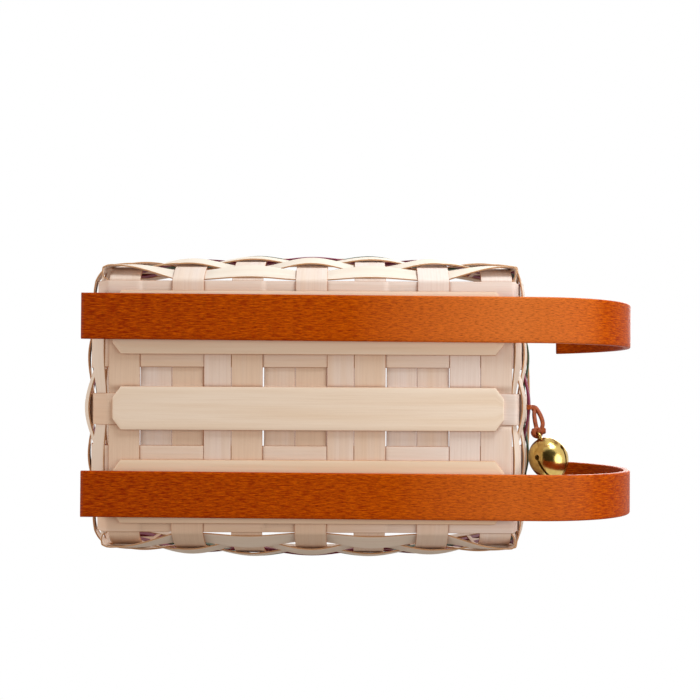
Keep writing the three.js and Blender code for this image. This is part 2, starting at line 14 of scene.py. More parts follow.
import bmesh
import bpy
import numpy as np
import numpy.typing as npt
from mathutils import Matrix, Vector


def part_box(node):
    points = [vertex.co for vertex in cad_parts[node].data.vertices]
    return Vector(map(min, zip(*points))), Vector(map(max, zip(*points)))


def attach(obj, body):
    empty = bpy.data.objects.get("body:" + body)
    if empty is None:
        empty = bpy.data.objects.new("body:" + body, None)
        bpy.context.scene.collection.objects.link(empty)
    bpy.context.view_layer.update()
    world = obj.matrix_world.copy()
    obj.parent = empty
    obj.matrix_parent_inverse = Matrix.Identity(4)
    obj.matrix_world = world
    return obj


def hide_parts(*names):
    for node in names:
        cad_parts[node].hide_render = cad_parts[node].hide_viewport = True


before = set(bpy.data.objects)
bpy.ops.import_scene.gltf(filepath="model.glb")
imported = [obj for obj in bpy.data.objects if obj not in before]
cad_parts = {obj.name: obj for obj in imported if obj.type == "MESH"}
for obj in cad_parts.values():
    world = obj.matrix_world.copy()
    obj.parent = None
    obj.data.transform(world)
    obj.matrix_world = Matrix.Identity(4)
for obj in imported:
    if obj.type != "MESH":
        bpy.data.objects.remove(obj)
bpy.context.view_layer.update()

LOG = logging.getLogger("sleigh_basket")
Array = npt.NDArray[np.float64]
Piece = bpy.types.Object
Tree = bpy.types.NodeTree
Socket = bpy.types.NodeSocket
Material = bpy.types.Material
Pair = tuple[float, float]
Pairs = tuple[Pair, ...]
Triple = tuple[float, float, float]

FLOOR_LOW, FLOOR_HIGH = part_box("base_stay_centre")
FLOOR_MIDDLE = np.array([(FLOOR_LOW.x + FLOOR_HIGH.x) / 2, 0.0, 0.0])
X_AXIS = np.array([1.0, 0.0, 0.0])
Y_AXIS = np.array([0.0, 1.0, 0.0])
Z_AXIS = np.array([0.0, 0.0, 1.0])
# The most by which a piece's own grain is moved, mm, and the depth of the finest relief, m.
UV_SHIFT = 5000.0
BUMP_DEPTH = 0.0002


class Body(Enum):
    """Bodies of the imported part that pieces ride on."""

    BASKET = "basket"
    LACE = "lace"
    BELL = "bell"


class Slot(Enum):
    """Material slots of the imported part."""

    MAPLE = "maple_splint"
    BURGUNDY = "burgundy_splint"
    GREEN = "green_splint"
    RUNNER = "stained_runner"
    BRASS = "brass"
    STEEL = "steel"
    LEATHER = "leather"


def to_row(points: Array) -> Array:
    """Millimetres from the middle of the floor to metres in the part's frame."""
    return points / 1000.0 + FLOOR_MIDDLE


def join(*columns: float | Array) -> Array:
    """Columns side by side as points, single numbers filled down."""
    return np.stack(np.broadcast_arrays(*columns), axis=-1).astype(float)


def seeded(name: str) -> np.random.Generator:
    """A random generator that is the same for one name on every run."""
    return np.random.default_rng(zlib.crc32(name.encode()))


def unit(vectors: Array) -> Array:
    """Vectors divided by their lengths."""
    return vectors / np.maximum(np.linalg.norm(vectors, axis=-1, keepdims=True), 1e-9)


def square_to(vectors: Array, axes: Array) -> Array:
    """Directions without the part that runs along the axes."""
    return unit(vectors - axes * (vectors * axes).sum(axis=1, keepdims=True))


def arc_length(points: Array, closed: bool = False) -> Array:
    """Distance along a path at each of its points: the running sum of the step lengths, back to the start if closed."""
    path = np.concatenate([points, points[:1]]) if closed else points
    return np.concatenate([[0.0], np.cumsum(np.linalg.norm(np.diff(path, axis=0), axis=1))])


def resample(points: Array, step: float) -> Array:
    """Points at even steps of about step mm along a path, each on the straight line between its neighbours."""
    along = arc_length(points)
    wanted = np.linspace(0.0, along[-1], max(2, int(round(along[-1] / step)) + 1))
    return np.stack([np.interp(wanted, along, column) for column in points.T], axis=1)


def soften(points: Array, spread: float, step: float) -> Array:
    """Rounds the bends of an evenly stepped path: each point becomes the bell-weighted mean of those near it.

    The weights' standard deviation is the spread. Both ends are kept by continuing the path straight past them.
    """
    reach = int(math.ceil(3 * spread / step))
    weights = np.exp(-0.5 * (np.arange(-reach, reach + 1) * step / spread) ** 2)
    before = 2 * points[0] - points[reach:0:-1]
    after = 2 * points[-1] - points[-2:-reach - 2:-1]
    longer = np.concatenate([before, points, after])
    return np.stack([np.convolve(column, weights / weights.sum(), "valid") for column in longer.T], axis=1)


def smooth_curve(knots: Array, per_span: int = 12) -> Array:
    """A smooth curve through knots: on each span the cubic whose slopes are half the steps between neighbours."""
    longer = np.concatenate([[2 * knots[0] - knots[1]], knots, [2 * knots[-1] - knots[-2]]])
    share = np.linspace(0.0, 1.0, per_span, endpoint=False)[None, :, None]
    one, two, three, four = (longer[k:len(longer) - 3 + k, None, :] for k in range(4))
    slope = (three - one) * share
    bend = (2 * one - 5 * two + 4 * three - four) * share ** 2
    twist = (3 * two - one - 3 * three + four) * share ** 3
    curve = 0.5 * (2 * two + slope + bend + twist)
    return np.concatenate([curve.reshape(-1, 3), knots[-1:]])


def wander(share: Array, name: str, waves: int, amount: float) -> Array:
    """Slow drift round a closed piece, by share of the way: four sines of whole wave numbers and seeded phases."""
    phases = seeded(name).uniform(0, 2 * np.pi, 4)
    turns = 2 * np.pi * (waves + 3 * np.arange(4))
    return amount / math.sqrt(2) * np.sin(share[:, None] * turns + phases).sum(axis=1)


def follow(drift: Pairs, places: Array) -> Array:
    """A drift given as pairs of place and value, read at places between them."""
    return np.interp(places, *zip(*drift))


def new_object(name: str, data: bpy.types.ID) -> Piece:
    """A new object at the origin, linked to the scene."""
    piece = bpy.data.objects.new(name, data)
    bpy.context.scene.collection.objects.link(piece)
    return piece


@dataclass
class Grid:
    """A surface as rows of points, each row a closed outline; open rows get flat ends."""

    points: Array
    along: Array
    around: Array
    edge: Array
    ring: bool = False


def strip_outline(face: int, corner: int) -> Array:
    """Outline of a strip's section, going round, with spans across a broad face and round one corner.

    Returns:
        Rows for the shares of the flat half width and half thickness, and the rounding's parts along both.
    """
    quarter = np.linspace(0, np.pi / 2, corner + 1)
    across = np.linspace(1, -1, face + 1)[1:-1]
    parts = []
    for k, (aside, up) in enumerate([(1, -1), (1, 1), (-1, 1), (-1, -1)]):
        angle = quarter + (k - 1) * np.pi / 2
        parts.append(join(aside, up, np.cos(angle), np.sin(angle)))
        if k % 2:
            parts.append(join(up * across, up, 0.0, up))
    return np.concatenate(parts).T


def ribbon(path: Array, across: Array, width: float | Array, thickness: float, rounding: float,
           ring: bool = False, face: int = 6, corner: int = 3) -> Grid:
    """Carries a rounded strip section along a path.

    Each outline point is the path's point, plus across times its share of the half width, plus the normal times
    its share of the half thickness. The normal is the tangent crossed with across.

    Args:
        path: middle line, mm.
        across: direction of the width, one for all or one a point.
        width: width, one for all or one a point, mm.
        thickness: thickness, mm.
        rounding: radius of the section's corners, mm.
        ring: whether the path closes on itself.
        face: spans across a broad face.
        corner: spans round one corner.
    Returns:
        The strip's surface.
    """
    if ring:
        tangent = unit(np.roll(path, -1, axis=0) - np.roll(path, 1, axis=0))
    else:
        tangent = unit(np.gradient(path, axis=0))
    across = square_to(np.broadcast_to(across, path.shape), tangent)
    normal = np.cross(tangent, across)
    share_a, share_n, round_a, round_n = strip_outline(face, corner)
    half = np.broadcast_to(np.asarray(width, float) / 2 - rounding, (len(path),))
    aside = half[:, None] * share_a + rounding * round_a
    raised = share_n * (thickness / 2 - rounding) + rounding * round_n
    points = path[:, None, :] + aside[..., None] * across[:, None, :] + raised[None, :, None] * normal[:, None, :]
    outline = join(half.mean() * share_a + rounding * round_a, raised, 0.0)
    return Grid(points, arc_length(path, ring), arc_length(outline, True), np.abs(round_a), ring)


def mesh_object(name: str, grid: Grid, tone: float | Array = 0.0) -> Piece:
    """Turns a grid into a mesh object with its own UV map and the attributes tone and edge.

    Neighbouring rows are joined by quads, the faces are turned outwards by the sign of the enclosed volume, and
    the UV map is the distance along the piece and round its section in metres, shifted by a seeded amount.

    Args:
        name: the object's name.
        grid: the surface, mm.
        tone: how far the colour lies from the middle one, for the piece or for each row.
    Returns:
        The new object.
    """
    rows, columns = grid.points.shape[:2]
    row = np.arange(rows if grid.ring else rows - 1)[:, None, None] + [0, 0, 1, 1]
    column = np.arange(columns)[None, :, None] + [0, 1, 1, 0]
    quads = (row % rows * columns + column % columns).reshape(-1, 4)
    uv = join(grid.along[row], grid.around[column]).reshape(-1, 4, 2)
    flat = grid.points.reshape(-1, 3)
    centred = flat - flat.mean(axis=0)
    first, second, third, fourth = (centred[quads[:, k]] for k in range(4))
    volume = (first * (np.cross(second, third) + np.cross(third, fourth))).sum()
    ends = np.empty((0, columns), int)
    if not grid.ring:
        ends = np.stack([np.arange(columns)[::-1], np.arange(columns) + (rows - 1) * columns])
    end_uv = np.stack([join(grid.around[:-1], grid.points[end, :, 2]) for end in (0, -1)])
    if volume < 0:
        quads, uv, ends = quads[:, ::-1], uv[:, ::-1], ends[:, ::-1]
    mesh = bpy.data.meshes.new(name)
    mesh.from_pydata(to_row(flat).tolist(), [], quads.tolist() + ends.tolist())
    corner_uv = np.concatenate([uv.reshape(-1, 2), end_uv[:len(ends)].reshape(-1, 2)])
    corner_uv = corner_uv + seeded(name).uniform(0, UV_SHIFT, 2)
    mesh.uv_layers.new(name="UVMap").data.foreach_set("uv", (corner_uv / 1000).ravel())
    mesh.polygons.foreach_set("use_smooth", np.arange(len(mesh.polygons)) < len(quads))
    for label, values in (("edge", grid.edge), ("tone", np.reshape(tone, (-1, 1)))):
        spots = np.broadcast_to(values, (rows, columns)).astype(np.float32).ravel()
        mesh.attributes.new(label, "FLOAT", "POINT").data.foreach_set("value", spots)
    mesh.update()
    return new_object(name, mesh)


def linear(code: str) -> tuple[float, float, float, float]:
    """An sRGB hex colour as linear red, green, blue and an alpha of 1."""
    shares = (int(code[k:k + 2], 16) / 255 for k in (1, 3, 5))
    red, green, blue = (s / 12.92 if s <= 0.04045 else ((s + 0.055) / 1.055) ** 2.4 for s in shares)
    return red, green, blue, 1.0


def add_node(tree: Tree, kind: str, inputs: dict | None = None, **settings: object) -> bpy.types.Node:
    """Adds one node with its settings, and fills its inputs, by name or number, with values or sockets."""
    node = tree.nodes.new("ShaderNode" + kind)
    for key, value in settings.items():
        setattr(node, key, value)
    for key, value in (inputs or {}).items():
        if isinstance(value, Socket):
            tree.links.new(value, node.inputs[key])
        else:
            node.inputs[key].default_value = value
    return node


def new_material(name: str) -> tuple[Material, Tree]:
    """An empty node material and its tree."""
    material = bpy.data.materials.new(name)
    material.use_nodes = True
    material.node_tree.nodes.clear()
    return material, material.node_tree


def close_with(tree: Tree, kind: str, inputs: dict) -> None:
    """Ends a material's tree with its shader and the output."""
    shader = add_node(tree, kind, inputs).outputs[0]
    add_node(tree, "OutputMaterial", {0: shader})


def calc(tree: Tree, operation: str, *values: Socket | float, clamp: bool = False) -> Socket:
    """What a maths node makes of the values."""
    return add_node(tree, "Math", dict(enumerate(values)), operation=operation, use_clamp=clamp).outputs[0]


def remap(tree: Tree, value: Socket, low: float, high: float, to_low: float = 0.0, to_high: float = 1.0,
          clamp: bool = True) -> Socket:
    """A value's range from low to high, carried over to another range."""
    inputs = {"Value": value, "From Min": low, "From Max": high, "To Min": to_low, "To Max": to_high}
    return add_node(tree, "MapRange", inputs, clamp=clamp).outputs[0]


def blend(tree: Tree, share: Socket, first: str | Socket, second: str | Socket) -> Socket:
    """A mix of two colours, each a hex code or a socket."""
    ends = [linear(colour) if isinstance(colour, str) else colour for colour in (first, second)]
    return add_node(tree, "Mix", {0: share, 6: ends[0], 7: ends[1]}, data_type="RGBA").outputs[2]


def attribute(tree: Tree, name: str) -> Socket:
    """A piece's attribute, tone or edge."""
    return add_node(tree, "Attribute", attribute_name=name).outputs["Fac"]


def strip_noise(tree: Tree, length: float, width: float, detail: float, roughness: float = 0.5) -> Socket:
    """Noise on a strip's own UV map, stretched to spots of a length along it and a width across it, mm."""
    uv = add_node(tree, "UVMap", uv_map="UVMap").outputs[0]
    place = add_node(tree, "VectorMath", {0: uv, 1: (1000 / length, 1000 / width, 1.0)}, operation="MULTIPLY")
    inputs = {"Vector": place.outputs[0], "Scale": 1.0, "Detail": detail, "Roughness": roughness}
    return add_node(tree, "TexNoise", inputs, noise_dimensions="2D").outputs[0]


def object_texture(tree: Tree, kind: str, size: float, inputs: dict | None = None) -> Socket:
    """A texture on Object coordinates, whose cells or clouds have a size in mm."""
    place = add_node(tree, "TexCoord").outputs["Object"]
    return add_node(tree, kind, {"Vector": place, "Scale": 1000 / size, **(inputs or {})}).outputs[0]


def relief(tree: Tree, height: Socket, strength: float, invert: bool = False) -> Socket:
    """A bump after a height, BUMP_DEPTH deep at full strength."""
    inputs = {"Height": height, "Strength": strength, "Distance": BUMP_DEPTH}
    return add_node(tree, "Bump", inputs, invert=invert).outputs[0]


@dataclass(frozen=True, eq=False)
class Finish:
    """What every finish has: its name and slot, and a material that is made once."""

    name: str
    slot: Slot

    @cached_property
    def material(self) -> Material:
        """The finish's material."""
        material, tree = new_material(self.name)
        self.shade(tree)
        return material

    def shade(self, tree: Tree) -> None:
        """Builds the material's nodes."""
        raise NotImplementedError

    def dress(self, piece: Piece, body: Body, *nodes: str) -> Piece:
        """Gives a piece this finish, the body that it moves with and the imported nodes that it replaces."""
        self.paint(piece)
        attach(piece, body.value)
        if nodes:
            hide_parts(*nodes)
        return piece

    def paint(self, piece: Piece) -> None:
        """Gives a piece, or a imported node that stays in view, this finish alone."""
        piece.data.materials.clear()
        piece.data.materials.append(self.material)
        LOG.info("%s: %s", piece.name, self.name)


@dataclass(frozen=True, eq=False)
class SplintFinish(Finish):
    """Sliced maple splint: straight fine fibres along the strip, and cut edges darker than the face.

    The wash or dye lies matt on the fibres, so the eye sees a dry, almost even face with faint long streaks.
    """

    face: str
    streak: str
    blush: str
    edge: str
    fibre_size: Pair = (45.0, 1.1)
    band_size: Pair = (160.0, 7.0)
    band_range: Pair = (0.35, 0.75)
    blush_share: float = 0.45
    streak_range: Pair = (0.42, 0.78)
    streak_share: float = 0.24
    edge_range: Pair = (0.2, 0.9)
    edge_share: float = 0.95
    tone_weight: float = 0.4
    bump: float = 0.35
    roughness: float = 0.72
    specular: float = 0.12

    def shade(self, tree: Tree) -> None:
        """Mixes face, streak, blush and edge colours by stretched noise and the piece's attributes."""
        # A fibre bundle is about a millimetre wide and runs for some centimetres. Bands of growth are 7 mm wide.
        fibre = strip_noise(tree, *self.fibre_size, 4.0, 0.65)
        band = strip_noise(tree, *self.band_size, 2.0)
        # The piece's tone moves the face towards the blush. It is random per piece, and on the upsplints and fillers it
        # also carries painted light.
        toned = calc(tree, "MULTIPLY_ADD", attribute(tree, "tone"), self.tone_weight,
                     remap(tree, band, *self.band_range, to_high=self.blush_share), clamp=True)
        washed = blend(tree, toned, self.face, self.blush)
        streaks = remap(tree, fibre, *self.streak_range, to_high=self.streak_share)
        streaked = blend(tree, streaks, washed, self.streak)
        cut = remap(tree, attribute(tree, "edge"), *self.edge_range, to_high=self.edge_share)
        close_with(tree, "BsdfPrincipled", {
            "Base Color": blend(tree, cut, streaked, self.edge), "Normal": relief(tree, fibre, self.bump),
            "Roughness": self.roughness, "IOR": 1.5, "Specular IOR Level": self.specular})


@dataclass(frozen=True, eq=False)
class RunnerFinish(Finish):
    """Bent hardwood, stained chestnut and varnished: amber and deep flecks, and short dark pores along the grain.

    The stain takes unevenly, so the eye sees warm flecks a few millimetres long under a thin satin coat.
    """

    name: str = "stained_varnished_bentwood"
    slot: Slot = Slot.RUNNER
    deep: str = "#8E2400"
    amber: str = "#CC5700"
    # A painted reflection of the lamps on the varnish: a painted sheen, mixed in where the tone's painted light is
    # high.
    painted_sheen: str = "#E4803E"
    pore: str = "#561A02"
    fleck_size: Pair = (6.5, 0.75)
    pore_size: Pair = (3.0, 0.4)
    fleck_range: Pair = (0.28, 0.72)
    stain_range: Pair = (0.15, 1.35)
    painted_sheen_range: Pair = (-0.3, 1.0)
    painted_sheen_share: float = 0.64
    pore_range: Pair = (0.48, 0.78)
    pore_share: float = 0.85
    tone_weight: float = 0.38
    bump: float = 0.2
    roughness: float = 0.42
    specular: float = 0.04

    def shade(self, tree: Tree) -> None:
        """Mixes deep and amber stain by flecks, lightens it by the piece's tone, which is painted light, towards a
        painted sheen, and darkens it by stretched pores.
        """
        # Real pores are about 0.2 mm wide, drawn coarser here so that they show at the render's size.
        flecks, pores = (strip_noise(tree, *size, 4.0, 0.7) for size in (self.fleck_size, self.pore_size))
        tone = attribute(tree, "tone")
        # The piece's tone is painted light: it pushes the stain towards amber, and where it is high the painted sheen
        # is mixed in.
        stain = calc(tree, "MULTIPLY_ADD", tone, self.tone_weight,
                     remap(tree, flecks, *self.fleck_range, *self.stain_range, clamp=False), clamp=True)
        stained = blend(tree, stain, self.deep, self.amber)
        pale = remap(tree, tone, *self.painted_sheen_range, to_high=self.painted_sheen_share)
        dark = remap(tree, pores, *self.pore_range, to_high=self.pore_share)
        colour = blend(tree, dark, blend(tree, pale, stained, self.painted_sheen), self.pore)
        close_with(tree, "BsdfPrincipled", {
            "Base Color": colour, "Normal": relief(tree, pores, self.bump, invert=True),
            "Roughness": self.roughness, "IOR": 1.5, "Specular IOR Level": self.specular})


@dataclass(frozen=True, eq=False)
class MetalFinish(Finish):
    """Metal, cast and polished or turned: mirror-like, with faint cloudy wear in its gloss."""

    colour: str
    worn: str
    roughness: float
    cloud: float = 6.0
    worn_range: Pair = (0.4, 0.8)
    gloss_range: Pair = (0.6, 1.6)

    def shade(self, tree: Tree) -> None:
        """Lets colour and roughness drift with clouds of a few millimetres."""
        clouds = object_texture(tree, "TexNoise", self.cloud, {"Detail": 4.0})
        colour = blend(tree, remap(tree, clouds, *self.worn_range), self.colour, self.worn)
        rough = remap(tree, clouds, 0.0, 1.0, *(share * self.roughness for share in self.gloss_range))
        close_with(tree, "BsdfPrincipled", {"Base Color": colour, "Metallic": 1.0, "Roughness": rough})


@dataclass(frozen=True, eq=False)
class LeatherFinish(Finish):
    """Cut leather lace: dull russet skin in uneven shades, with fine pebbles that break its sheen."""

    name: str = "cut_leather_lace"
    slot: Slot = Slot.LEATHER
    skin: str = "#A04818"
    crease: str = "#522008"
    mottle: float = 3.0
    pebble: float = 0.8
    mottle_range: Pair = (0.4, 0.75)
    mottle_share: float = 0.7
    bump: float = 0.3
    roughness: float = 0.5
    specular: float = 0.25

    def shade(self, tree: Tree) -> None:
        """Darkens the skin in clouds of a few millimetres and bumps it by pebbles of under a millimetre."""
        pebbles = object_texture(tree, "TexVoronoi", self.pebble)
        mottle = object_texture(tree, "TexNoise", self.mottle, {"Detail": 3.0})
        shade = remap(tree, mottle, *self.mottle_range, to_high=self.mottle_share)
        colour = blend(tree, shade, self.skin, self.crease)
        close_with(tree, "BsdfPrincipled", {
            "Base Color": colour, "Normal": relief(tree, pebbles, self.bump),
            "Roughness": self.roughness, "IOR": 1.45, "Specular IOR Level": self.specular})


@dataclass(frozen=True)
class Flare:
    """How one wall leans out: quickly at its foot, then more and more upright."""

    reach: float | Array
    rise: float | Array
    draw: float = 1.0

    def lean(self, height: Array | float) -> Array:
        """Reach times one minus the falling exponential of the height over the rise."""
        return self.reach * (1 - np.exp(-np.asarray(height, float) / self.rise))

    def eased(self, share: float | Array) -> "Flare":
        """The same profile with its reach shrunk by a share, and its rise as far as the draw says."""
        return Flare(self.reach * share, self.rise * share ** self.draw)


@dataclass(frozen=True)
class Plan:
    """The walls from above: feet, the lean's direction and share at each, and how far bands stand upright there."""

    feet: Array
    leans: Array
    shares: Array
    upright: Array


@dataclass(frozen=True)
class BasketForm:
    """Sizes and curves that the splints, weavers, rim and lace share."""

    splint_width: float = 19.0
    splint_thickness: float = 1.0
    cross_count: int = 7
    cross_pitch: float = 37.2
    long_count: int = 5
    long_pitch: float = 33.0
    layer: float = 0.65
    base_level: float = 7.35
    half_length: float = 121.7
    half_width: float = 76.1
    upset: float = 1.2
    row_pitch: float = 13.6
    row_count: int = 6
    rim_width: float = 17.0
    lace_row: int = 3
    lace_sway: float = 3.1
    front: Flare = Flare(36.0, 95.0)
    rear: Flare = Flare(20.5, 17.0)
    side: Flare = Flare(21.5, 27.0, 1.5)
    corner_share: float = 0.5
    fold_step: float = 0.03
    fold_bend: float = 0.04
    upright_from: Pair = (0.72, 1.07)
    front_fold: Pairs = ((1.0, 0.0), (0.9, 0.4), (0.6, 1.02), (0.0, 1.0))
    rear_fold: Pairs = ((1.0, 0.0), (0.8, 0.4), (0.42, 1.02), (0.0, 1.0))

    def cross_x(self, i: int | Array) -> Array:
        """Middle of crosswise splint i."""
        return (i - (self.cross_count - 1) / 2) * self.cross_pitch

    def long_y(self, j: int | Array) -> Array:
        """Middle of lengthwise splint j."""
        return (j - (self.long_count - 1) / 2) * self.long_pitch

    def weave(self, i: int, j: int) -> float:
        """Height of lengthwise splint j at crosswise splint i over the floor's middle: a layer under it or over it."""
        return -self.layer if (i + j) % 2 == 0 else self.layer

    def row_edges(self) -> list[float]:
        """Heights where the rows part, each a row's pitch further up the leaning side wall, then the rim's top."""
        edges = [self.upset]
        for row in range(self.row_count + 1):
            step = self.row_pitch if row < self.row_count else self.rim_width
            rise = (self.side.lean(edges[-1] + step) - self.side.lean(edges[-1])) / step
            edges.append(edges[-1] + step / math.hypot(1, float(rise)))
        return edges

    def lean_share(self, aside: float | Array) -> Array:
        """Share of the lean at a place of a wall, 0 in its middle and 1 at its last upsplint: full less a square."""
        return 1 - (1 - self.corner_share) * np.minimum(np.abs(aside), 1.0) ** 2

    def plan(self, step: float = 1.2) -> Plan:
        """The walls from above, counter-clockwise from the front right corner.

        Each side is a straight row of feet, a step apart. At a corner the foot stays and the direction follows the
        weavers' fold. Towards a corner the bands stand up along the long sides, and lean again in the fold to the
        short side.
        """
        ends = np.array([[1, -1], [1, 1], [-1, 1], [-1, -1]])
        last = np.array([self.cross_x(self.cross_count - 1), self.long_y(self.long_count - 1)])
        feet, leans, shares, upright = [], [], [], []
        for side in range(4):
            start, end = ends[side], ends[(side + 1) % 4]
            corner = end * [self.half_length, self.half_width]
            from_corner = start * [self.half_length, self.half_width]
            count = int(np.linalg.norm(corner - from_corner) / step)
            row = from_corner + (corner - from_corner) * np.linspace(0, 1, count)[:, None]
            straight = (start + end) / 2
            fold = np.array(self.front_fold if end[0] > 0 else self.rear_fold)
            fold = soften(resample(fold, self.fold_step), self.fold_bend, self.fold_step)
            turned = (fold if side % 2 == 0 else fold[::-1]) * end
            along = 1 - side % 2
            aside = np.abs(row[:, along]) / last[along]
            feet += [row, np.broadcast_to(corner, turned.shape)]
            leans += [np.broadcast_to(straight, row.shape), turned]
            shares += [self.lean_share(aside), np.full(len(turned), self.corner_share)]
            standing = np.interp(aside, self.upright_from, (0.0, 1.0)) if side % 2 else np.zeros(len(row))
            fade = np.linspace(side % 2, 1 - side % 2, len(turned))
            upright += [standing, fade]
        return Plan(*(np.concatenate(part) for part in (feet, leans, shares, upright)))

    def wall_points(self, plan: Plan, height: float, lean_height: float | Array) -> Array:
        """Points at a height: the foot, moved along its direction by the wall's flare at the height for the lean."""
        ahead = self.front.eased(plan.shares).lean(lean_height)
        behind = self.rear.eased(plan.shares).lean(lean_height)
        x = plan.feet[:, 0] + plan.leans[:, 0] * np.where(plan.leans[:, 0] > 0, ahead, behind)
        y = plan.feet[:, 1] + plan.leans[:, 1] * self.side.eased(plan.shares).lean(lean_height)
        return join(x, y, self.base_level + height)

    def band(self, plan: Plan, low: float, high: float) -> tuple[Array, Array, Array]:
        """A level band between two heights, which leans with the walls and stands more upright towards the corners.

        Returns:
            Its middle line, and the directions up the wall and out of it.
        """
        lower = self.wall_points(plan, low, low + plan.upright * (high - low))
        upper = self.wall_points(plan, high, high)
        up = unit(upper - lower)
        out = join(*plan.leans.T, 0.0)
        return (lower + upper) / 2, up, square_to(out, up)

    def upsplint_feet(self) -> tuple[Array, Array]:
        """Feet of all upsplints, and which the first row passes outside (1) or inside (-1)."""
        cross = np.arange(self.cross_count)
        long = np.arange(self.long_count)
        sides = [join(self.cross_x(cross), s * self.half_width) for s in (-1, 1)]
        ends = [join(s * self.half_length, self.long_y(long)) for s in (-1, 1)]
        passing = [np.where(cross % 2 == 0, 1, -1)] * 2 + [np.where(long % 2 == 1, 1, -1)] * 2
        return np.concatenate(sides + ends), np.concatenate(passing)


FORM = BasketForm()
MAPLE = SplintFinish("bare_maple_splint", Slot.MAPLE, "#E1BEA2", "#C39A7E", "#E6CDBE", "#A9632F")
WASHED_MAPLE = SplintFinish("whitewashed_maple_splint", Slot.MAPLE, "#E7D1BD", "#CFAB8E", "#E2C4B0", "#C08A5C")
STAY_MAPLE = SplintFinish("planed_maple_strip", Slot.MAPLE, "#EDD2BA", "#D9B596", "#E0BC9A", "#B8764A")
BURGUNDY = SplintFinish("burgundy_dyed_splint", Slot.BURGUNDY, "#7A283E", "#571626", "#8C3550", "#6A2030")
GREEN = SplintFinish("green_dyed_splint", Slot.GREEN, "#3C4B32", "#26331F", "#4A5B40", "#39452E")
BENTWOOD = RunnerFinish()
BRASS = MetalFinish("polished_cast_brass", Slot.BRASS, "#D6B76C", "#B8954C", 0.2)
STEEL = MetalFinish("turned_steel", Slot.STEEL, "#B4B4B2", "#8C8C8A", 0.32, 2.0)
LACE_LEATHER = LeatherFinish()


@dataclass(frozen=True)
class Lamp:
    """A round lamp: its direction from the object, its distance and diameter in m, and the level that it gives.

    Its power is such that a white face turned to it gets that level, 1 being white.
    """

    name: str
    direction: Triple
    distance: float
    size: float
    level: float
    tint: str = "#FFFFFF"

    def build(self, aim: float) -> None:
        """Stands the lamp round a point at a height over the soles and turns it there."""
        data = bpy.data.lights.new(self.name, "AREA")
        data.shape = "DISK"
        data.size = self.size
        data.color = linear(self.tint)[:3]
        data.energy = self.level * math.pi ** 2 * self.distance ** 2
        lamp = new_object(self.name, data)
        away = unit(np.array(self.direction))
        lamp.location = (away * self.distance + Z_AXIS * aim).tolist()
        lamp.rotation_euler = Vector((-away).tolist()).to_track_quat("-Z", "Y").to_euler()


